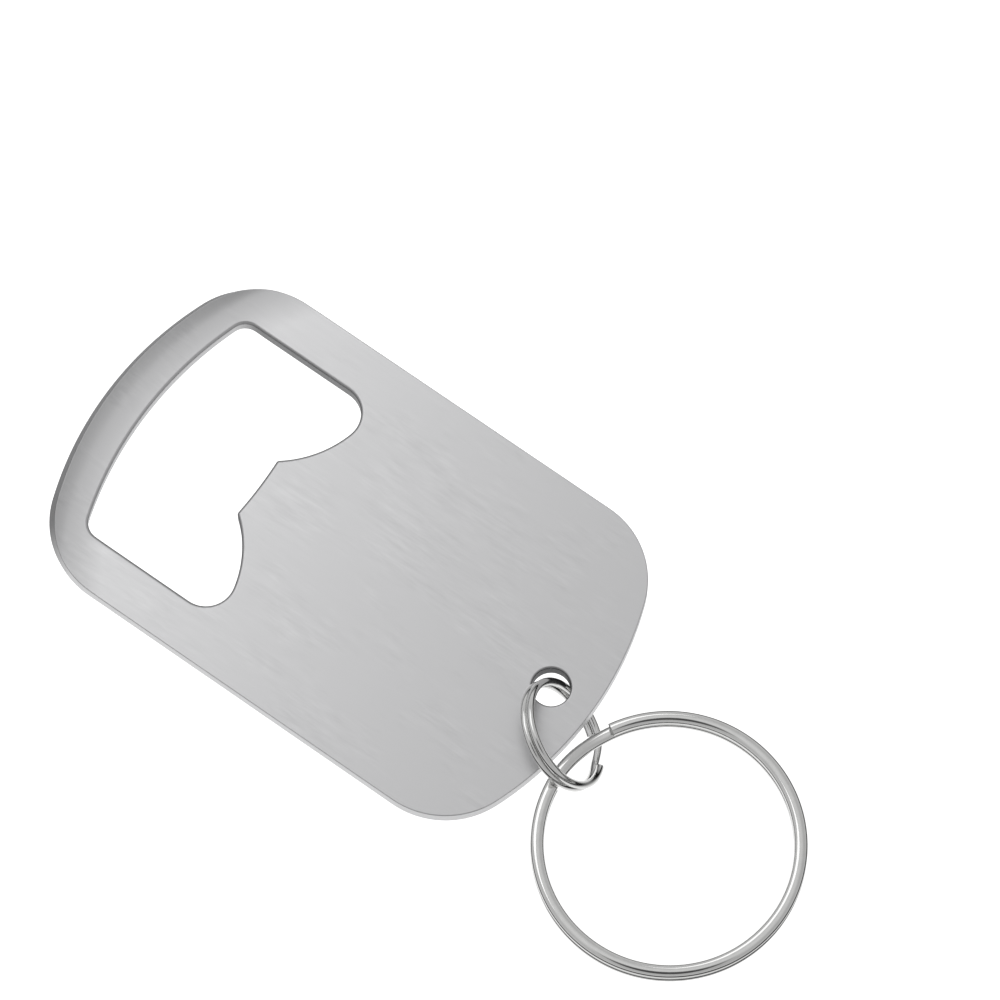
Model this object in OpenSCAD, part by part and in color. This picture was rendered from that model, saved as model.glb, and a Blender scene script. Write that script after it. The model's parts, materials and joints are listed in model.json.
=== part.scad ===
// Keychain bottle opener: a flat stamped steel plate with a window and a tooth for crown
// caps, a small split ring through the hole at its foot, and a larger split ring for keys.
//
// Frame: X across the plate, Y along it from the key rings towards the head bar, Z up
// through the sheet. The origin is the middle of the plate, on its flat underside.

/* [Plate] */
// Width of the plate
plate_w = 38; // [36:0.5:44]
// Length of the plate between the crowns of its two end arcs
plate_len = 60.5; // [58:0.5:66]
// Thickness of the steel sheet
sheet_t = 1.8; // [1.5:0.1:2]
// Radius of the arc that forms each end of the plate
end_r = 37; // [34:1:42]
// Radius of the plate's four outer corners
corner_r = 9.3; // [7:0.1:10]

/* [Lip of the head bar] */
// Radius of the gentle bend that starts the lip, on the upper face
lean_r = 30; // [20:1:40]
// Angle that the gentle bend reaches
lean_deg = 8; // [5:1:9]
// Radius of the tighter bend that ends the lip, on the upper face
lip_r = 6; // [4:0.5:8]
// Angle of the sheet at the very end of the lip
lip_deg = 24; // [16:1:28]

/* [Cap window] */
// Width of the window between its two side bars
window_w = 27.8; // [26:0.2:29]
// Width of the head bar on the centre line
head_bar = 4.7; // [4:0.1:5.5]
// Radius of the window's edge along the head bar
window_end_r = 40; // [36:1:48]
// Radius of the window's two corners at the head bar
window_corner_r = 1.8; // [1:0.1:2.4]
// Distance from the tips of the tooth to the crown of the window's edge at the head bar
bite = 14.1; // [13:0.1:15]
// Width of the tooth between its two tips
tooth_w = 7; // [6:0.2:9]
// Radius of the shallow curve along the front of the tooth
tooth_front_r = 45; // [30:1:80]
// Radius of the hollow on each side of the tooth
hollow_r = 12.2; // [11.4:0.1:13]
// Distance from the window's side to the centre of a hollow's arc
hollow_in = 0.7; // [0:0.1:1.5]
// Radius where a hollow meets the side bar
hollow_corner_r = 3; // [2:0.1:3.5]

/* [Ring hole] */
// Diameter of the hole for the connector ring
hole_d = 4; // [4:0.1:4.4]
// Distance from the hole's centre to the crown of the foot arc
hole_in = 4.85; // [4.8:0.05:5]

/* [Connector ring] */
// Outer diameter of the small split ring
connector_od = 12; // [12:0.1:12.6]
// Thickness of its wire, in the ring's plane and across it
connector_wire = 0.8; // [0.7:0.05:0.8]
// Angle between the ring's plane and the plate
connector_tilt = 52; // [51:1:56]
// Angle about the hole from the plate's centre line to the ring's centre
connector_bearing = 41; // [38:1:43]
// Distance from the hole's axis to the ring's centre
connector_reach = 4.9; // [4.8:0.05:5]

/* [Key ring] */
// Outer diameter of the large split ring
key_ring_od = 28; // [28:0.5:32]
// Width of its wire in the ring's plane
key_wire_w = 1.4; // [1.2:0.1:1.5]
// Height of each of its two turns
key_wire_h = 1.1; // [0.9:0.1:1.1]
// Distance of the ring's centre to the left of the plate's centre line
key_ring_left = 6.4; // [6:0.1:6.8]
// Distance from the crown of the foot arc to the ring's centre along the plate
key_ring_out = 14.25; // [14.1:0.05:14.4]
// Height of the ring's middle plane above the plate's underside
key_ring_z = 0.45; // [0.3:0.05:0.6]

/* [Hidden] */
$fn = 96;
arc_steps = 14;
wire_sides = 12;
stations = 180;
turn_gap = 0.04;
end_gap = 0.8;

head_y = plate_len / 2;
foot_y = -plate_len / 2;
hole_y = foot_y + hole_in;
window_y = head_y - head_bar;
tip_y = window_y - bite;
hollow_x = window_w / 2 - hollow_in;
hollow_y = tip_y + sqrt(pow(hollow_r, 2) - pow(hollow_x - tooth_w / 2, 2));
bearing = -90 - connector_bearing;

// Points along an arc about a centre, from one angle to another.
function arc(centre, r, from, to) =
    [for (i = [0:arc_steps])
        let (a = from + (to - from) * i / arc_steps)
        centre + r * [cos(a), sin(a)]];

// Direction from the origin to a point, as an angle.
function heading(p) = atan2(p[1], p[0]);

// One arched end: a corner on the right, the long arc, a corner on the left.
// The circle of each corner touches the side line and the long arc from inside.
function arched_end(half_w, r, big, crown) =
    let (
        cx = half_w - r,
        rise = sqrt(pow(big - r, 2) - pow(cx, 2)),
        middle = [0, crown - big],
        a = heading([cx, rise])
    )
    concat(
        arc(middle + [cx, rise], r, 0, a),
        arc(middle, big, a, 180 - a),
        arc(middle + [-cx, rise], r, 180 - a, 180)
    );

// One hollow of the window, on the left of the tooth, from the side bar to the tooth tip.
function left_hollow() =
    let (
        middle = [-hollow_x, hollow_y],
        cx = hollow_corner_r - window_w / 2,
        drop = sqrt(pow(hollow_r - hollow_corner_r, 2) - pow(cx + hollow_x, 2)),
        a = 360 + heading([cx + hollow_x, -drop]),
        tip = 360 + heading([hollow_x - tooth_w / 2, tip_y - hollow_y])
    )
    concat(
        arc([cx, hollow_y - drop], hollow_corner_r, 180, a),
        arc(middle, hollow_r, a, tip)
    );

module plate_outline() {
    // The head is drawn a little long here: the lip's own end face trims it.
    head = arched_end(plate_w / 2, corner_r, end_r, head_y + 0.3);
    foot = arched_end(plate_w / 2, corner_r, end_r, -foot_y);
    polygon(concat(head, -1 * foot));
}

module cap_window() {
    left = left_hollow();
    last = len(left) - 1;
    right = [for (i = [0:last]) [-left[last - i][0], left[last - i][1]]];
    half = asin(tooth_w / 2 / tooth_front_r);
    front = arc([0, tip_y + tooth_front_r * cos(half)], tooth_front_r, 270 - half, 270 + half);
    inner = [for (i = [1:arc_steps - 1]) front[i]];
    top = arched_end(window_w / 2, window_corner_r, window_end_r, window_y);
    polygon(concat(top, left, inner, right));
}

// Section of the sheet from the middle of the head arc outwards: flat, then bent up.
module sheet_section() {
    bend_x = lean_r - lip_r;
    length = bend_x * sin(lean_deg) + (lip_r + sheet_t) * sin(lip_deg);
    flat = end_r - length;
    lean = [flat, sheet_t + lean_r];
    lip = lean + bend_x * [sin(lean_deg), -cos(lean_deg)];
    lean_bottom = bend(lean, lean_r + sheet_t, 0, lean_deg, 4);
    lip_bottom = bend(lip, lip_r + sheet_t, lean_deg, lip_deg, 6);
    lip_top = bend(lip, lip_r, lip_deg, lean_deg, 6);
    lean_top = bend(lean, lean_r, lean_deg, 0, 4);
    polygon(concat([[0, 0]], lean_bottom, lip_bottom, lip_top, lean_top, [[0, sheet_t]]));
}

// Points of a bend in the section, from just after its first angle to its last.
function bend(centre, r, from, to, steps) =
    [for (i = [from == 0 || from == lip_deg ? 0 : 1 : steps])
        let (a = from + (to - from) * i / steps)
        centre + r * [sin(a), -cos(a)]];

module opener_plate() {
    color("Silver")
    difference() {
        intersection() {
            translate([0, 0, -1])
                linear_extrude(height = sheet_t + 5)
                    difference() {
                        plate_outline();
                        cap_window();
                    }
            translate([0, head_y - end_r, 0])
                rotate_extrude()
                    sheet_section();
        }
        translate([0, hole_y, -1])
            cylinder(d = hole_d, h = sheet_t + 2);
    }
}

// A split ring: flattened wire wound twice, the lower turn rising to the upper one.
// The rise is centred on the local X axis turned by jog_at, and covers jog degrees.
module split_ring(od, wire_w, wire_h, jog_at, jog) {
    mean = (od - wire_w) / 2;
    pitch = wire_h + turn_gap;
    first = jog / 2 + end_gap;
    n = wire_sides;
    points = [for (k = [0:stations])
        let (
            a = first + (720 - 2 * first) * k / stations,
            t = max(0, min(1, (a - 360) / jog + 0.5)),
            z = pitch * (t * t * (3 - 2 * t) - 0.5)
        )
        for (i = [0:n - 1])
            let (c = cos(360 * i / n), s = sin(360 * i / n),
                r = mean + wire_w / 2 * sign(c) * pow(abs(c), 2 / 3))
            [r * cos(a + jog_at), r * sin(a + jog_at),
                z + wire_h / 2 * sign(s) * pow(abs(s), 2 / 3)]];
    skin = [for (k = [0:stations - 1]) for (i = [0:n - 1])
        let (p = k * n + i, q = k * n + (i + 1) % n)
        each [[p, q, q + n], [p, q + n, p + n]]];
    start_cap = [for (i = [1:n - 2]) [0, i + 1, i]];
    b = stations * n;
    end_cap = [for (i = [1:n - 2]) [b, b + i, b + i + 1]];
    polyhedron(points, concat(skin, start_cap, end_cap));
}

module connector_ring() {
    color("Gainsboro")
    translate([0, hole_y, sheet_t / 2])
        rotate([0, 0, bearing])
            translate([connector_reach, 0, 0])
                rotate([-connector_tilt, 0, 0])
                    split_ring(connector_od, connector_wire, connector_wire, 75, 40);
}

module key_ring() {
    color("Gainsboro")
    translate([-key_ring_left, foot_y - key_ring_out, key_ring_z])
        split_ring(key_ring_od, key_wire_w, key_wire_h, 79.5, 35);
}

opener_plate();
connector_ring();
key_ring();
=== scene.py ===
# %% [markdown]
# # A keychain bottle opener
#
# The opener is three loose pieces of steel: a stamped plate, a small split ring through the
# hole at its foot, and a larger split ring for the keys. The frame loaded here says where
# each one sits. This lesson builds each piece again as a fine surface, worked out with
# numpy, and gives it the finish of the real metal.

# %% Load the frame and the tools
import bpy
import json
import numpy as np
from mathutils import Matrix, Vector
from mathutils.geometry import delaunay_2d_cdt


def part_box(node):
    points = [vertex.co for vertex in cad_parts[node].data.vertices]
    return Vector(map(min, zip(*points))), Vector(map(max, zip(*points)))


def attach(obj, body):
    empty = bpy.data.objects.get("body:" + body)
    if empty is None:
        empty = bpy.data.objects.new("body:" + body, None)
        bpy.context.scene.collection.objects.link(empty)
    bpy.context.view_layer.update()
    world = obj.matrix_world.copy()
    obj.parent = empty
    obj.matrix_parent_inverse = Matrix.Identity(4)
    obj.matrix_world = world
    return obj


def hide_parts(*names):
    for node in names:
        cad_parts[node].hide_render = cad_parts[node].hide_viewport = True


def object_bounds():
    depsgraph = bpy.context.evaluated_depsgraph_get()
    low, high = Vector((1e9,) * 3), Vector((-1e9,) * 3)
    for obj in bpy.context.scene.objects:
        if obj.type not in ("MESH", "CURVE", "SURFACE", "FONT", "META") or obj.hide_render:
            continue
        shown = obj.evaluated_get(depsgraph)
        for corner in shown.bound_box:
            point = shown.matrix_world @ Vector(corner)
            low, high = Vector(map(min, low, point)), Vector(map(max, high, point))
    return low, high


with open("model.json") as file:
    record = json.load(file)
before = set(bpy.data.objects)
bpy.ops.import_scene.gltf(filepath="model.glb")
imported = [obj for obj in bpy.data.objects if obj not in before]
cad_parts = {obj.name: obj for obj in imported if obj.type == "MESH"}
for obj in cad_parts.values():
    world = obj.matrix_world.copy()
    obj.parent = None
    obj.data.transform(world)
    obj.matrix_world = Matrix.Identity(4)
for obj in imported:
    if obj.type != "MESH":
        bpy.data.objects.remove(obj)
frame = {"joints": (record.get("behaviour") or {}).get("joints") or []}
cad_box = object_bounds()
MM = 0.001
plate_box = np.array(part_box("opener_plate")) / MM
key_box = np.array(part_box("key_ring")) / MM
joints = {j["name"]: j for j in frame["joints"]}
print("plate box in mm", plate_box.round(2).tolist())

# %% [markdown]
# ## The camera
#
# The opener lies flat and is seen from high above, a little from one side. A long lens from
# far away keeps the plate's sides almost parallel. The camera is placed from two angles, a
# distance and the point that the middle of the view falls on.

# %% Place the camera
azimuth, elevation = np.radians([-54.5, 71.7])
distance = 800 * MM
look_at = np.array([13.7, -9.25, 0]) * MM
sa, ca = np.sin(azimuth), np.cos(azimuth)
se, ce = np.sin(elevation), np.cos(elevation)
right = np.array([ca, sa, 0])
up = np.array([-sa * se, ca * se, ce])
back = np.array([sa * ce, -ca * ce, se])

camera = bpy.data.objects.new("camera", bpy.data.cameras.new("camera"))
camera.data.sensor_width = 36
camera.data.lens = 281.4
camera.data.clip_start = 0.05
camera.data.clip_end = 100
pose = np.eye(4)
pose[:3] = np.column_stack([right, up, back, look_at + distance * back])
camera.matrix_world = Matrix(pose.tolist())
bpy.context.scene.collection.objects.link(camera)
bpy.context.scene.camera = camera
print("camera at", (look_at + distance * back).round(3).tolist())

# %% [markdown]
# ## Outlines made of arcs
#
# A stamping die for such a plate is cut from arcs that run smoothly into each other. Drawing
# the outline by hand would give lumps, so every round stretch is an arc with a real radius.
# The curve is then shared out in equal steps, because even steps make an even edge.

# %% Helpers for outlines
def arc(middle, radius, start, end, points=60):
    """Points on a circle: middle + radius * (cos a, sin a), a in degrees."""
    a = np.radians(np.linspace(start, end, points))
    return np.asarray(middle) + radius * np.column_stack([np.cos(a), np.sin(a)])


def heading(x, y):
    """Angle of the direction (x, y), in degrees."""
    return np.degrees(np.arctan2(y, x))


def arched_end(half_width, corner, big, crown):
    """Corner arc, long arc, corner arc. A corner circle touches the side line x = half
    width, and touches the long arc from inside: the distance between their middles is the
    difference of their radii."""
    cx = half_width - corner
    rise = np.sqrt((big - corner) ** 2 - cx ** 2)
    y = crown - big
    a = heading(cx, rise)
    return np.vstack([arc((cx, y + rise), corner, 0, a),
                      arc((0, y), big, a, 180 - a, 160),
                      arc((-cx, y + rise), corner, 180 - a, 180)])


def even_steps(loop, step):
    """The closed loop again, with its points one step apart along its length."""
    loop = np.vstack([loop, loop[:1]])
    length = np.hypot(*np.diff(loop, axis=0).T)
    loop, length = loop[np.r_[True, length > 1e-6]], length[length > 1e-6]
    at = np.r_[0, np.cumsum(length)]
    want = np.linspace(0, at[-1], int(at[-1] / step), endpoint=False)
    return np.column_stack([np.interp(want, at, loop[:, 0]), np.interp(want, at, loop[:, 1])])


def tumbled(loop, radius):
    """The loop with sharp corners worn round: each point becomes the bell-weighted mean of
    its neighbours along the edge, which is a product with a bell curve in frequency."""
    z = loop[:, 0] + 1j * loop[:, 1]
    step = np.abs(np.diff(z)).mean()
    turns = np.fft.fftfreq(len(z), d=step)
    z = np.fft.ifft(np.fft.fft(z) * np.exp(-2 * (np.pi * turns * radius) ** 2))
    return np.column_stack([z.real, z.imag])


def outward(loop):
    """Unit normals on the right of the way the loop runs: its tangent turned by -90."""
    t = np.roll(loop, -1, axis=0) - np.roll(loop, 1, axis=0)
    t /= np.hypot(*t.T)[:, None]
    return np.column_stack([t[:, 1], -t[:, 0]])


# %% [markdown]
# ## The sheet, flat and bent
#
# The real plate is a flat blank of 1.8 mm stainless sheet whose head bar is pressed up into
# a shallow lip. So it is built the same way: the blank is drawn flat, and one function bends
# it round the middle of the head arc. First a wide gentle bend, then a tight one. Bending
# keeps the length of the sheet's middle layer, which gives the size of the flat blank.

# %% Sizes of the sheet, in millimetres
sheet = 1.8
end_radius = 37.0
corner_radius = 9.3
half_width = plate_box[1, 0]
head_y, foot_y = plate_box[1, 1], plate_box[0, 1]
bend_middle_y = head_y - end_radius

# The gentle bend leans the sheet to 8 degrees, the tight one goes on to the lip's 24. Both
# radii are those of the sheet's upper side.
lean_radius, lean = 30.0, np.radians(8)
lip_radius, lip = 6.0, np.radians(24)
lean_length = (lean_radius + sheet / 2) * lean
lip_length = (lip_radius + sheet / 2) * (lip - lean)
bend_start = (end_radius - (lean_radius - lip_radius) * np.sin(lean)
              - (lip_radius + sheet) * np.sin(lip))
blank_radius = bend_start + lean_length + lip_length
print("flat blank: head arc radius", round(blank_radius, 3), "mm, bent to", end_radius)

# %% [markdown]
# ### The press
#
# A Simple Deform modifier can bend a mesh, but only about a straight line. This lip curves
# with the head of the plate, so each point is bent in its own upright plane, which runs
# through the middle of the head arc. The normals are turned by the same angle.


# %% The bend
def bent(points, normals):
    """Points (x, y, height in the sheet) of the flat blank, and their normals, after the
    press. With s the distance past the start of the bend, the sheet's angle is a = s / R in
    the gentle bend and goes on as (s - length) / r in the tight one. A point stays on its
    own circle about that bend's centre: (sin a, -cos a) times the radius at its height."""
    rel = points[:, :2] - [0, bend_middle_y]
    rho = np.hypot(*rel.T)
    out = rel / rho[:, None]
    s = rho - bend_start
    gentle = (s > 0) & (s <= lean_length)
    tight = s > lean_length
    a = np.where(gentle, s / (lean_radius + sheet / 2), 0)
    a = np.where(tight, lean + (s - lean_length) / (lip_radius + sheet / 2), a)
    first = np.array([bend_start, sheet + lean_radius])
    second = first + (lean_radius - lip_radius) * np.array([np.sin(lean), -np.cos(lean)])
    middle = np.where(tight[:, None], second, first)
    radius = np.where(tight, lip_radius, lean_radius) + sheet - points[:, 2]
    curled = middle + radius[:, None] * np.column_stack([np.sin(a), -np.cos(a)])
    flat = ~(gentle | tight)
    curled[flat] = np.column_stack([rho, points[:, 2]])[flat]
    place = np.column_stack([out * curled[:, :1] + [0, bend_middle_y], curled[:, 1]])
    radial = (normals[:, :2] * out).sum(1)
    side = normals[:, :2] - radial[:, None] * out
    rise = normals[:, 2]
    facing = np.column_stack([
        out * (radial * np.cos(a) - rise * np.sin(a))[:, None] + side,
        radial * np.sin(a) + rise * np.cos(a)])
    return place, facing


# %% [markdown]
# ## Outline, window and hole
#
# The window takes the rim of a crown cap. Its upper edge follows the head bar; below, two
# round hollows leave a blunt tooth between them, which hooks under the rim. The blank's
# outline runs the other way round from the window and the hole, so that one rule, "the
# normal is on the right", points out of the metal on all three.

# %% Sizes of the window and the hole, in millimetres
window_half = 13.9
window_top = head_y - 4.7
window_end_radius = 40.0
window_corner = 1.8
tip_y = window_top - 14.1
tooth_half = 3.5
tooth_front = 45.0
hollow = 12.2
hollow_x = window_half - 0.7
# The hollows' middles are as high above the tooth's tips as puts the tips on their circles.
hollow_y = tip_y + np.sqrt(hollow ** 2 - (hollow_x - tooth_half) ** 2)
hollow_corner = 3.0
hole_radius = 2.0
hole = np.array(joints["connector_roll"]["pos_m"]) / MM


# %% The three loops of the blank
def window_loop():
    """Arched top, left side, corner, hollow, tooth front, and the same mirrored."""
    cx = hollow_corner - window_half
    drop = np.sqrt((hollow - hollow_corner) ** 2 - (cx + hollow_x) ** 2)
    a = 360 + heading(cx + hollow_x, -drop)
    tip = 360 + heading(hollow_x - tooth_half, tip_y - hollow_y)
    left = np.vstack([arc((cx, hollow_y - drop), hollow_corner, 180, a),
                      arc((-hollow_x, hollow_y), hollow, a, tip)])
    half = np.degrees(np.arcsin(tooth_half / tooth_front))
    front = arc((0, tip_y + tooth_front * np.cos(np.radians(half))), tooth_front,
                270 - half, 270 + half)
    top = arched_end(window_half, window_corner, window_end_radius, window_top)
    return np.vstack([top, left, front, left[::-1] * [-1, 1]])


head = arched_end(half_width, corner_radius, blank_radius, bend_middle_y + blank_radius)
foot = arched_end(half_width, corner_radius, end_radius, -foot_y)
outline = tumbled(even_steps(np.vstack([head, -foot]), step=0.25), radius=0.1)
window = tumbled(even_steps(window_loop(), step=0.2), radius=0.16)[::-1]
ring_hole = even_steps(arc(hole[:2], hole_radius, 360, 0, 200), step=0.1)
loops = [outline, window, ring_hole]
print("points on outline, window, hole:", [len(loop) for loop in loops])

# %% [markdown]
# ## The stamped plate
#
# A punch leaves an edge with a story. On the side it enters, the sheet is dragged down into
# a soft roll; below that the wall is burnished smooth, and lower still it is torn and
# matt. Tumbling then rounds whatever is left of the burr. A Bevel modifier would give every
# edge the same round. So the edge is a profile carried along each loop: a quarter-ellipse on
# top, widest at the window, then the straight wall, and a small round below.

# %% The profile of a punched edge
rim_inset = 0.45


def edge_profile(roll_wide, roll_deep, burr_round=0.1):
    """Rows of inset from the loop, height, and the normal's outward and upward part:
    quarter-ellipse (w(1 - sin q), d(1 - cos q)) below the face, wall, quarter circle."""
    q = np.radians(np.linspace(0, 90, 9))
    roll = np.column_stack([roll_wide * (1 - np.sin(q)), sheet - roll_deep * (1 - np.cos(q)),
                            np.sin(q) / roll_wide, np.cos(q) / roll_deep])
    h = np.linspace(sheet - roll_deep, burr_round, 6)[1:-1]
    wall = np.column_stack([0 * h, h, 1 + 0 * h, 0 * h])
    low = np.column_stack([burr_round * (1 - np.cos(q)), burr_round * (1 - np.sin(q)),
                           np.cos(q), -np.sin(q)])
    rows = np.vstack([[rim_inset, sheet, 0, 1], roll, wall, low, [rim_inset, 0, 0, -1]])
    rows[:, 2:] /= np.hypot(*rows[:, 2:].T)[:, None]
    return rows


profiles = [edge_profile(roll_wide=0.1, roll_deep=0.1),
            edge_profile(roll_wide=0.36, roll_deep=0.32),
            edge_profile(roll_wide=0.24, roll_deep=0.2)]
rows = len(profiles[0])
print("edge profiles have", rows, "rows")


# %% Carry the profile along each loop
def strip(loop, profile):
    """Rows of points: loop point - inset * normal, at the profile's height, with normals
    made of the loop's normal and up. Returns arrays shaped (rows, points, 3)."""
    n = outward(loop)
    inset, height, out, rise = (profile[:, k][:, None, None] for k in range(4))
    flat = loop[None] - inset * n[None]
    points = np.concatenate([flat, height + 0 * flat[..., :1]], axis=2)
    normals = np.concatenate([out * n[None], rise + 0 * flat[..., :1]], axis=2)
    return points, normals


def grid_faces(rows, columns, first):
    """Quads of a closed strip of rows, numbered row by row from first."""
    i, j = np.meshgrid(np.arange(rows - 1), np.arange(columns), indexing="ij")
    k = (j + 1) % columns
    quads = np.stack([i * columns + j, (i + 1) * columns + j,
                      (i + 1) * columns + k, i * columns + k], axis=-1)
    return quads.reshape(-1, 4) + first


# %% [markdown]
# ### The two faces
#
# A flat face could be one big polygon, but the lip has to bend, and a bend needs points. So
# the faces between the edge strips are filled with a triangle net. It is coarse on the flat
# part and fine on the lip, on rings about the middle of the head arc, so that its rows run
# along the bend.

# %% A net of points for the faces
flat_step, lip_step, lip_ring_gap, edge_gap = 1.2, 0.6, 0.32, 0.3


def net_points(edge):
    """Points on rings about the middle of the head arc, closer together on the lip, and
    none nearer to an edge point than the edge gap."""
    rings = []
    for radius in np.r_[np.arange(flat_step, bend_start, flat_step),
                        np.arange(bend_start, blank_radius, lip_ring_gap)]:
        step = lip_step if radius > bend_start - 0.1 else flat_step
        count = max(6, int(2 * np.pi * radius / step))
        rings.append(arc((0, bend_middle_y), radius, 0, 360 - 360 / count, count))
    points = np.vstack(rings)
    inside = (np.abs(points[:, 0]) < half_width) & (points[:, 1] > foot_y)
    points = points[inside & (points[:, 1] < bend_middle_y + blank_radius)]
    near = np.min([np.hypot(points[:, :1] - part[:, 0], points[:, 1:] - part[:, 1]).min(1)
                   for part in edge], axis=0)
    return points[near > edge_gap]


def within(points, loop):
    """True for points inside a loop: a line from the point towards +x crosses the loop's
    steps an odd number of times."""
    a, b = loop, np.roll(loop, -1, axis=0)
    x, y = points[:, :1], points[:, 1:]
    spans = (a[:, 1] > y) != (b[:, 1] > y)
    with np.errstate(divide="ignore", invalid="ignore"):
        crossing = a[:, 0] + (y - a[:, 1]) * (b[:, 0] - a[:, 0]) / (b[:, 1] - a[:, 1])
    return (spans & (x < crossing)).sum(1) % 2 == 1


# %% Fill the faces between the strips
strips = [strip(loop, profile) for loop, profile in zip(loops, profiles)]
rims = [points[0, :, :2] for points, _ in strips]
net = net_points(rims)
net = net[within(net, rims[0]) & ~within(net, rims[1]) & ~within(net, rims[2])]
starts = np.cumsum([0] + [len(rim) for rim in rims])
ids = [start + np.arange(len(rim)) for start, rim in zip(starts, rims)]
edges = np.vstack([np.column_stack([i, np.roll(i, -1)]) for i in ids])
flat_points = np.vstack(rims + [net])
# Output kind 4 gives faces that a mesh can take, here all triangles. Points closer than the
# last value count as one. Each new point comes with the numbers of those it was made of.
mesh_faces, same_point = 4, 1e-5
filled = delaunay_2d_cdt(flat_points.tolist(), edges.tolist(), [], mesh_faces, same_point)
source = np.array([made_of[0] for made_of in filled[3]])
triangles = source[np.array(filled[2])]
centres = flat_points[triangles].mean(axis=1)
triangles = triangles[~(within(centres, rims[1]) | within(centres, rims[2]))]
print("face net:", len(flat_points), "points,", len(triangles), "triangles")


# %% [markdown]
# One mesh holds it all: the three edge strips, the net as the upper face, and the same net
# turned over as the lower face. The upper face shares the strips' first rows and the lower
# face their last rows, so the shell is closed. The normals are worked out with the shape,
# which keeps the flat faces free of false shading next to the small rounds.

# %% A mesh with its own normals
def add_piece(name, points, normals, faces, slot, **marks):
    """A closed mesh object from arrays in millimetres. marks are values per point that a
    material can read: one number each, or a row of three."""
    mesh = bpy.data.meshes.new(name)
    mesh.from_pydata((points * MM).tolist(), [], faces)
    for key, value in marks.items():
        kind, field = ("FLOAT", "value") if value.ndim == 1 else ("FLOAT_VECTOR", "vector")
        layer = mesh.attributes.new(key, kind, "POINT")
        layer.data.foreach_set(field, value.astype(np.float32).ravel())
    mesh.polygons.foreach_set("use_smooth", np.ones(len(mesh.polygons), bool))
    normals = normals / np.linalg.norm(normals, axis=1)[:, None]
    mesh.normals_split_custom_set_from_vertices(normals.tolist())
    piece = bpy.data.objects.new(name, mesh)
    bpy.context.scene.collection.objects.link(piece)
    low, high = points.min(0), points.max(0)
    print(name, len(mesh.polygons), "faces, box in mm", low.round(2), high.round(2))
    return piece


# %% [markdown]
# A mark on each point says how dark and matt its wall is drawn. It is partly the grey of
# metal torn by the punch and partly painted shade, which stands in for the dark things the
# walls mirror and draws dark lines along the rounded edges. It is none on the faces, little
# on the polished sides, more on the head end, where it paints a dark line along the lip's
# edge, and in the window, and most in the small hole, which tumbling hardly reaches. The
# head bar's side of the window, which faces the foot, is painted lighter than the rest.

# %% Marks for the torn walls and the painted shade on them
# Shares of the dark wall tone, each partly torn metal and partly painted shade.
side_tear_and_shade, head_tear_and_shade, window_tear_and_shade, foot_facing_tear_painted_lighter = 0.08, 0.75, 0.8, 0.25
head_zone, head_fade = 9, 5
near_head = np.clip((outline[:, 1] - head_y + head_zone) / head_fade, 0, 1)
# Window walls that face the foot are painted lighter, standing in for the brighter light they
# mirror.
faces_foot = np.clip(-outward(window)[:, 1], 0, 1)
tear_and_shade = [side_tear_and_shade + (head_tear_and_shade - side_tear_and_shade) * near_head,
        window_tear_and_shade - (window_tear_and_shade - foot_facing_tear_painted_lighter) * faces_foot,
        np.ones(len(ring_hole))]
# The share grows with how far the normal turns outwards, so the rounded edge beside each wall
# gets a painted dark line too.
cut_wall = np.concatenate([np.outer(profile[:, 2], share).ravel()
                           for profile, share in zip(profiles, tear_and_shade)]
                          + [np.zeros(2 * len(net))])
print("torn share from", cut_wall.min(), "to", cut_wall.max())

# %% The stamped plate
offsets = np.cumsum([0] + [points.shape[0] * points.shape[1] for points, _ in strips])
faces = [grid_faces(rows, points.shape[1], start)
         for (points, _), start in zip(strips, offsets)]
count = offsets[-1]
top_index = np.r_[np.concatenate([start + np.arange(p.shape[1])
                                  for (p, _), start in zip(strips, offsets)]),
                  count + np.arange(len(net))]
low_index = np.r_[np.concatenate([start + (rows - 1) * p.shape[1] + np.arange(p.shape[1])
                                  for (p, _), start in zip(strips, offsets)]),
                  count + len(net) + np.arange(len(net))]
points = np.vstack([p.reshape(-1, 3) for p, _ in strips]
                   + [np.c_[net, np.full(len(net), sheet)], np.c_[net, 0 * net[:, 0]]])
normals = np.vstack([n.reshape(-1, 3) for _, n in strips]
                    + [np.c_[0 * net, np.ones(len(net))], np.c_[0 * net, -np.ones(len(net))]])
place, facing = bent(points, normals)
stamped_plate = add_piece(
    "stamped_plate", place, facing,
    np.vstack(faces).tolist() + top_index[triangles].tolist()
    + low_index[triangles][:, ::-1].tolist(),
    "plate_steel", cut_wall=cut_wall)
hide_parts("opener_plate")
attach(stamped_plate, "plate")

# %% [markdown]
# ## Split rings
#
# A split ring is flattened spring wire wound twice. One turn lies on the other, and where
# the wire changes floor it makes a short ramp. Both wire ends butt against that ramp, which
# is where a key is worked in. It could be two tori pushed together, but then the ramp and
# the ends, the first things the eye finds, would be missing. So one section is carried
# along the whole path of two turns.

# %% The section of the wire
def oval_section(wire_w, wire_h, count):
    """Points on a fat oval, |x/w|^2.2 + |y/h|^2.2 = 1 in half widths, and its normals, which
    are the slopes of that same sum."""
    q = np.linspace(0, 2 * np.pi, count, endpoint=False)
    c, s = np.cos(q), np.sin(q)
    fat = 2.2
    section = np.column_stack([wire_w / 2 * np.sign(c) * np.abs(c) ** (2 / fat),
                               wire_h / 2 * np.sign(s) * np.abs(s) ** (2 / fat)])
    face = np.column_stack([np.sign(c) * np.abs(c) ** (2 - 2 / fat) / wire_w,
                            np.sign(s) * np.abs(s) ** (2 - 2 / fat) / wire_h])
    return section, face / np.hypot(*face.T)[:, None]


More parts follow.
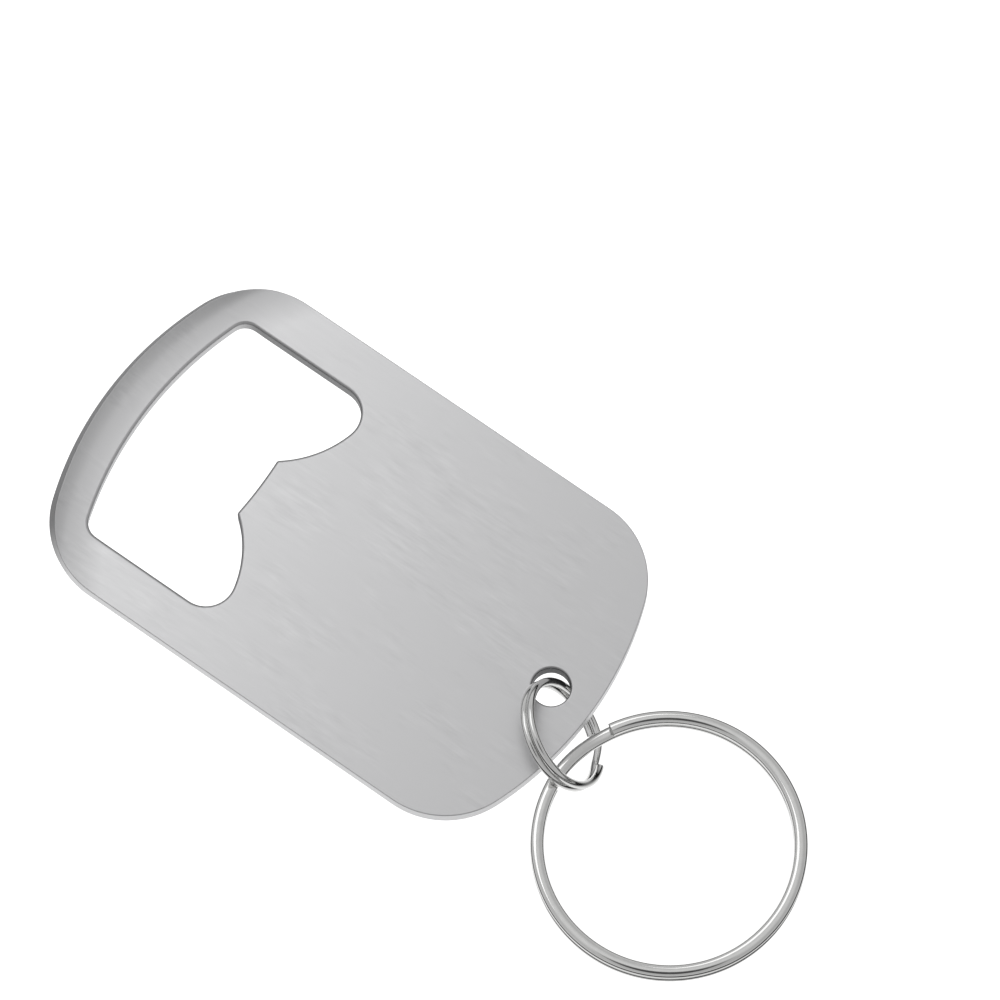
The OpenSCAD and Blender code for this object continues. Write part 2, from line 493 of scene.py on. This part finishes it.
# %% The way the wire runs
def wound_path(mean, pitch, ramp_at, ramp):
    """The angle a goes from the ramp's end, twice round, to its other end, and the height
    follows a smooth step t*t*(3 - 2t) over the ramp. At both ends the section shrinks along
    a quarter circle, so that the sheared wire end is a flat with a rounded rim. Returns a,
    the shrinking, how far the normals lean to the end, and the path's own directions."""
    end_gap, end_round = 0.8, 0.1
    first = ramp / 2 + end_gap
    turn = np.radians(np.linspace(0, 90, 6))
    tip = np.degrees(end_round * (1 - np.sin(turn[::-1])) / mean)
    middle = np.linspace(first + tip[0], 720 - first - tip[0], 720)
    a = np.r_[first + tip[::-1], middle[1:-1], 720 - first - tip]
    shrink = np.r_[end_round * (1 - np.cos(turn[::-1])), 0 * middle[1:-1],
                   end_round * (1 - np.cos(turn))]
    lean_out = np.r_[-turn[::-1], 0 * middle[1:-1], turn]
    t = np.clip((a - 360) / ramp + 0.5, 0, 1)
    z = pitch * (t * t * (3 - 2 * t) - 0.5)
    slope = pitch * 6 * t * (1 - t) / (np.radians(ramp) * mean)
    way = np.radians(a + ramp_at)
    radial = np.column_stack([np.cos(way), np.sin(way), 0 * way])
    ahead = np.column_stack([-np.sin(way), np.cos(way), slope])
    ahead /= np.linalg.norm(ahead, axis=1)[:, None]
    return a, shrink, lean_out, mean * radial + z[:, None] * [0, 0, 1.0], radial, ahead


# %% The section carried along the way
def split_ring(outer, wire_w, wire_h, ramp_at, ramp, section_points=36):
    """A ring about the z axis: at each step the section's x goes outwards and its y up. Each
    wire end is closed by a fan of triangles about its middle. The mark along holds the
    length along the wire and the place in the section."""
    mean = (outer - wire_w) / 2
    turn_gap = 0.04
    turns_apart = wire_h + turn_gap
    a, shrink, lean_out, centre, radial, ahead = wound_path(mean, turns_apart, ramp_at, ramp)
    section, face = oval_section(wire_w, wire_h, section_points)
    axial = np.array([0, 0, 1.0])
    local = section[None] - shrink[:, None, None] * face[None]
    points = (centre[:, None] + local[..., :1] * radial[:, None]
              + local[..., 1:] * axial)
    n = face[None, :, :1] * radial[:, None] + face[None, :, 1:] * axial
    n = n - (n * ahead[:, None]).sum(-1, keepdims=True) * ahead[:, None]
    n = n * np.cos(lean_out)[:, None, None] + ahead[:, None] * np.sin(lean_out)[:, None, None]
    along = np.concatenate([np.broadcast_to(np.radians(a)[:, None, None] * mean,
                                            local[..., :1].shape), local], axis=-1)
    ring = np.arange(section_points)
    after = np.roll(ring, -1)
    last = (len(a) - 1) * section_points
    total = len(a) * section_points
    caps = np.vstack([np.column_stack([ring, after, 0 * ring + total]),
                      np.column_stack([after + last, ring + last, 0 * ring + total + 1])])
    faces = grid_faces(len(a), section_points, 0).tolist() + caps.tolist()
    points = np.vstack([points.reshape(-1, 3), centre[[0, -1]]])
    n = np.vstack([n.reshape(-1, 3), -ahead[:1], ahead[-1:]])
    along = np.vstack([along.reshape(-1, 3), [[along[0, 0, 0], 0, 0], [along[-1, 0, 0], 0, 0]]])
    return points, n, faces, along


# %% [markdown]
# ### The key ring
#
# The large ring lies flat, so it only has to be shifted to the middle of its place in the
# frame. Its wire is wider than it is high. That makes the ring stiff against being pulled
# open, and still easy to pry apart sideways with a nail.

# %% The key ring
key_middle = key_box.mean(0)
points, normals, faces, along = split_ring(outer=28.0, wire_w=1.4, wire_h=1.1,
                                           ramp_at=79.5, ramp=35)
large_split_ring = add_piece("large_split_ring", points + key_middle, normals, faces,
                             "key_ring_steel", along=along)
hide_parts("key_ring")
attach(large_split_ring, "large_ring")

# %% [markdown]
# ### The connector ring
#
# The small ring stands at a slant in the plate's hole. Its middle lies 4.9 mm from the
# hole's axis, and its plane holds the line between them, which is the axis that it rolls
# about. Its place is therefore a turn and a shift away from a ring drawn at the origin.

# %% The connector ring
roll_axis = -np.array(joints["connector_roll"]["axis"])
tilt = np.radians(-52)
reach = 4.9
across = np.array([-roll_axis[1], roll_axis[0], 0])
rise = np.array([0, 0, 1.0])
turned = np.column_stack([roll_axis,
                          across * np.cos(tilt) + rise * np.sin(tilt),
                          rise * np.cos(tilt) - across * np.sin(tilt)])
points, normals, faces, along = split_ring(outer=12.0, wire_w=0.8, wire_h=0.8,
                                           ramp_at=75, ramp=40, section_points=28)
small_split_ring = add_piece("small_split_ring",
                             points @ turned.T + hole + reach * roll_axis,
                             normals @ turned.T, faces, "connector_steel", along=along)
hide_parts("connector_ring")
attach(small_split_ring, "small_ring")

# %% [markdown]
# ## Finishes
#
# Metals get their colour from what they mirror, so their own colour is a plain grey and the
# work goes into roughness and bump. Colours are written as the sRGB hex values that a
# colour picker shows, and one function turns them to the linear values that shaders add up.

# %% Helpers for materials
def colour(hex_code):
    """sRGB hex to linear: c / 12.92 in the darks, ((c + 0.055) / 1.055) ** 2.4 above."""
    c = np.array([int(hex_code[i:i + 2], 16) for i in (1, 3, 5)]) / 255
    c = np.where(c <= 0.04045, c / 12.92, ((c + 0.055) / 1.055) ** 2.4)
    return (*c.tolist(), 1.0)


def add(tree, kind, sockets=None, **settings):
    """A node with its settings; a socket takes a value, or a link from another output."""
    node = tree.nodes.new(kind)
    for key, value in settings.items():
        setattr(node, key, value)
    for key, value in (sockets or {}).items():
        if isinstance(value, bpy.types.NodeSocket):
            tree.links.new(value, node.inputs[key])
        else:
            node.inputs[key].default_value = value
    return node


def new_finish(name):
    """An empty material and its tree."""
    finish = bpy.data.materials.new(name)
    finish.use_nodes = True
    finish.node_tree.nodes.clear()
    return finish, finish.node_tree


# %% [markdown]
# ### Brushed stainless sheet
#
# The sheet is 430-type stainless, belt-ground along its length before it is punched, then
# tumbled. The belt leaves fine parallel scratches some hundredths of a millimetre wide,
# drawn here at 0.16 mm so that they show. Tumbling wears them away here and there, so that
# broader strokes stay in patches. The walls are drawn darker, partly because metal torn by
# the punch is a matt grey and partly as painted shade for the dark things they mirror; the
# outline is drawn pale along its polished sides and dark at the head, where painted shade
# gives the lip's edge a dark line.

# %% Brushed stainless
steel, tree = new_finish("brushed_stainless")
grain_wide, grain_long = 0.16 * MM, 6 * MM
patch_wide, patch_long = 4 * MM, 6 * MM
stroke_wide, stroke_long = 0.5 * MM, 3.5 * MM
where = add(tree, "ShaderNodeTexCoord").outputs["Object"]
grain_at = add(tree, "ShaderNodeMapping", {
    "Vector": where, "Scale": (1 / grain_wide, 1 / grain_long, 1 / grain_wide)})
grain = add(tree, "ShaderNodeTexNoise", {
    "Vector": grain_at.outputs[0], "Scale": 1.0, "Detail": 4.0, "Roughness": 0.6})
patch_at = add(tree, "ShaderNodeMapping", {
    "Vector": where, "Scale": (1 / patch_wide, 1 / patch_long, 1 / patch_wide)})
patches = add(tree, "ShaderNodeTexNoise", {
    "Vector": patch_at.outputs[0], "Scale": 1.0, "Detail": 2.0, "Roughness": 0.5})
brush_at = add(tree, "ShaderNodeMapping", {
    "Vector": where, "Scale": (1 / stroke_wide, 1 / stroke_long, 1 / stroke_wide)})
brushed = add(tree, "ShaderNodeTexNoise", {
    "Vector": brush_at.outputs[0], "Scale": 1.0, "Detail": 3.0, "Roughness": 0.6})
where_brushed = add(tree, "ShaderNodeMapRange", {
    "Value": patches.outputs["Fac"], "From Min": 0.42, "From Max": 0.62})
stroke = add(tree, "ShaderNodeMix", {
    0: where_brushed.outputs[0], 2: 0.5, 3: brushed.outputs["Fac"]})
wall_tear_and_shade = add(tree, "ShaderNodeAttribute", attribute_name="cut_wall")
face_tone = add(tree, "ShaderNodeMix", {
    0: stroke.outputs[0], 6: colour("#C9C9CA"), 7: colour("#E3E3E4")}, data_type="RGBA")
# Towards #5A5A5C by the wall mark: the grey of torn metal together with painted shade on the
# walls and rounded edges.
tone = add(tree, "ShaderNodeMix", {
    0: wall_tear_and_shade.outputs["Fac"], 6: face_tone.outputs[2], 7: colour("#5A5A5C")},
    data_type="RGBA")
ground = add(tree, "ShaderNodeMapRange", {
    "Value": grain.outputs["Fac"], "To Min": 0.27, "To Max": 0.41})
rough = add(tree, "ShaderNodeMix", {
    0: wall_tear_and_shade.outputs["Fac"], 2: ground.outputs[0], 3: 0.5})
scratch = add(tree, "ShaderNodeBump", {
    "Height": grain.outputs["Fac"], "Strength": 0.35, "Distance": 0.004 * MM})
shade = add(tree, "ShaderNodeBsdfPrincipled", {
    "Base Color": tone.outputs[2], "Metallic": 1.0, "Roughness": rough.outputs[0],
    "Normal": scratch.outputs[0]})
add(tree, "ShaderNodeOutputMaterial", {"Surface": shade.outputs[0]})
stamped_plate.data.materials.append(steel)
print(steel.name, "has", len(tree.nodes), "nodes")

# %% [markdown]
# ### Nickel-plated spring wire
#
# Split rings are wound from flattened spring steel, then barrel-plated with nickel. The
# plating is close to a mirror, slightly warm, with drawing lines along the wire and dull
# specks where rings knocked together in the barrel. Real drawing lines are hundredths of a
# millimetre wide; they are drawn at 0.14 mm so that they show. The lines follow the wire, so
# the pattern reads the ring's own mark: the length along the path and the place in the
# section, both in millimetres.

# %% Nickel plate
nickel, tree = new_finish("nickel_plated_spring_wire")
line_wide, line_long = 0.14, 9
speck_wide, speck_long = 0.5, 0.9
along_mark = add(tree, "ShaderNodeAttribute", attribute_name="along")
line_at = add(tree, "ShaderNodeMapping", {
    "Vector": along_mark.outputs["Vector"],
    "Scale": (1 / line_long, 1 / line_wide, 1 / line_wide)})
lines = add(tree, "ShaderNodeTexNoise", {
    "Vector": line_at.outputs[0], "Scale": 1.0, "Detail": 3.0, "Roughness": 0.6})
speck_at = add(tree, "ShaderNodeMapping", {
    "Vector": along_mark.outputs["Vector"],
    "Scale": (1 / speck_long, 1 / speck_wide, 1 / speck_wide)})
specks = add(tree, "ShaderNodeTexNoise", {
    "Vector": speck_at.outputs[0], "Scale": 1.0, "Detail": 4.0, "Roughness": 0.65})
plate_tone = add(tree, "ShaderNodeMix", {
    0: specks.outputs["Fac"], 6: colour("#DEDEDD"), 7: colour("#F2F2F1")}, data_type="RGBA")
polish = add(tree, "ShaderNodeMapRange", {
    "Value": specks.outputs["Fac"], "From Min": 0.35, "From Max": 0.7,
    "To Min": 0.05, "To Max": 0.14})
drawn = add(tree, "ShaderNodeBump", {
    "Height": lines.outputs["Fac"], "Strength": 0.3, "Distance": 0.003 * MM})
shade = add(tree, "ShaderNodeBsdfPrincipled", {
    "Base Color": plate_tone.outputs[2], "Metallic": 1.0, "Roughness": polish.outputs[0],
    "Normal": drawn.outputs[0]})
add(tree, "ShaderNodeOutputMaterial", {"Surface": shade.outputs[0]})
for piece in (large_split_ring, small_split_ring):
    piece.data.materials.append(nickel)
print(nickel.name, "has", len(tree.nodes), "nodes")

# %% [markdown]
# ## The studio
#
# Small metal goods are shown on a white sheet under a wide overhead light, with something
# dark low round the sides. Flat faces mirror the light and look evenly pale; rounded edges
# mirror the dark and get the thin lines that draw their shape. It could be built from many
# lamps and cards. Here it is three things: a sheet on a table, one smooth sky, and a softbox.

# %% [markdown]
# ### The white sheet
#
# Such goods are often laid on clear glass held well above the white sheet. No shadow shows
# then, and the rings have room to swing below the plate. The sheet is small and lies on a
# dark table, which is what gives the wire its dark outlines. To the camera all of it is
# burnt out to plain white, so the table shows only in what the steel mirrors.

# %% Floor
room_below = 45 * MM
floor_z = cad_box[0][2] - room_below
side = 3.0
floor_mesh = bpy.data.meshes.new("floor")
floor_mesh.from_pydata([(-side, -side, floor_z), (side, -side, floor_z),
                        (side, side, floor_z), (-side, side, floor_z)], [], [(0, 1, 2, 3)])
floor = bpy.data.objects.new("floor", floor_mesh)
bpy.context.scene.collection.objects.link(floor)
print("floor at", round(floor_z / MM, 2), "mm")

# %% White paper on a dark table
white_to, dark_from = 60 * MM, 220 * MM
glow_mirrored, glow_seen = 0.5, 0.82
paper, tree = new_finish("white_paper")
seen = add(tree, "ShaderNodeLightPath").outputs["Is Camera Ray"]
spot = add(tree, "ShaderNodeTexCoord").outputs["Object"]
from_middle = add(tree, "ShaderNodeVectorMath", {0: spot}, operation="LENGTH")
sheet_edge = add(tree, "ShaderNodeMapRange", {
    "Value": from_middle.outputs["Value"], "From Min": white_to, "From Max": dark_from},
    interpolation_type="SMOOTHSTEP")
table_share = add(tree, "ShaderNodeMix", {0: seen, 2: sheet_edge.outputs[0], 3: 0.0})
paper_tone = add(tree, "ShaderNodeMix", {
    0: table_share.outputs[0], 6: colour("#F2F2F2"), 7: colour("#202020")}, data_type="RGBA")
sheet_glow = add(tree, "ShaderNodeMapRange", {
    "Value": seen, "To Min": glow_mirrored, "To Max": glow_seen})
paper_glow = add(tree, "ShaderNodeMix", {
    0: table_share.outputs[0], 2: sheet_glow.outputs[0], 3: 0.0})
shade = add(tree, "ShaderNodeBsdfPrincipled", {
    "Base Color": paper_tone.outputs[2], "Roughness": 0.9, "Specular IOR Level": 0.0,
    "Emission Color": (1, 1, 1, 1), "Emission Strength": paper_glow.outputs[0]})
add(tree, "ShaderNodeOutputMaterial", {"Surface": shade.outputs[0]})
floor_mesh.materials.append(paper)
print(paper.name, "has", len(tree.nodes), "nodes")

# %% [markdown]
# ### The sky
#
# The sky is a ramp on the height of the direction: dim at the horizon, bright just above it,
# and brightest overhead. It is also a little dimmer on the foot's side. The lip mirrors that
# side and the flat plate mirrors the top, so the lip looks darker. A soft dark patch stands
# where the person with the camera would. The camera itself sees plain white.

# %% Sky
sky = bpy.data.worlds.new("studio")
bpy.context.scene.world = sky
sky.use_nodes = True
tree = sky.node_tree
tree.nodes.clear()
direction = add(tree, "ShaderNodeTexCoord").outputs["Generated"]
parts = add(tree, "ShaderNodeSeparateXYZ", {0: direction})
level = add(tree, "ShaderNodeMapRange", {
    "Value": parts.outputs["Z"], "From Min": -1.0, "From Max": 1.0})
foot_side = add(tree, "ShaderNodeMapRange", {
    "Value": parts.outputs["Y"], "From Min": -0.75, "From Max": 0.35,
    "To Min": 0.92, "To Max": 1.05})
ramp = add(tree, "ShaderNodeValToRGB", {0: level.outputs[0]})
# Height of the direction, from straight down to straight up, and brightness there.
stops = [(-1, 0.3), (0.0, 0.15), (0.07, 0.25), (0.2, 0.6), (0.62, 0.5),
         (0.84, 0.5), (1, 0.69)]
for z, value in stops[1:-1]:
    ramp.color_ramp.elements.new((z + 1) / 2).color = (value, value, value, 1)
for element, (z, value) in zip((ramp.color_ramp.elements[0], ramp.color_ramp.elements[-1]),
                               (stops[0], stops[-1])):
    element.color = (value, value, value, 1)
towards = add(tree, "ShaderNodeVectorMath", {0: direction, 1: back.tolist()},
              operation="DOT_PRODUCT")
person = add(tree, "ShaderNodeMapRange", {
    "Value": towards.outputs["Value"], "From Min": 0.94, "From Max": 0.985,
    "To Min": 1.0, "To Max": 0.12}, interpolation_type="SMOOTHSTEP")
strength = add(tree, "ShaderNodeMath", {0: foot_side.outputs[0], 1: person.outputs[0]},
               operation="MULTIPLY")
glow = add(tree, "ShaderNodeBackground", {
    "Color": ramp.outputs[0], "Strength": strength.outputs[0]})
backdrop = add(tree, "ShaderNodeBackground", {"Color": (1, 1, 1, 1), "Strength": 1.0})
seen = add(tree, "ShaderNodeLightPath").outputs["Is Camera Ray"]
surround = add(tree, "ShaderNodeMixShader", {0: seen, 1: glow.outputs[0],
                                             2: backdrop.outputs[0]})
add(tree, "ShaderNodeOutputWorld", {"Surface": surround.outputs[0]})
bpy.context.scene.view_settings.view_transform = "Standard"
print("sky with", len(ramp.color_ramp.elements), "stops")

# %% [markdown]
# ### The softbox
#
# A sky is far away, so a flat plate mirrors the same part of it from end to end. One softbox
# stands near, beyond the head end. Its blurred reflection fades along the plate, and so the
# plate darkens gently towards the foot.

# %% Softbox
softbox = bpy.data.objects.new("softbox", bpy.data.lights.new("softbox", "AREA"))
softbox.data.shape = "RECTANGLE"
softbox.data.size, softbox.data.size_y = 0.34, 0.26
softbox.data.energy = 0.21
softbox.location = (0.08, 0.21, 0.34)
bpy.context.scene.collection.objects.link(softbox)
print("softbox", softbox.data.energy, "W at", tuple(softbox.location))
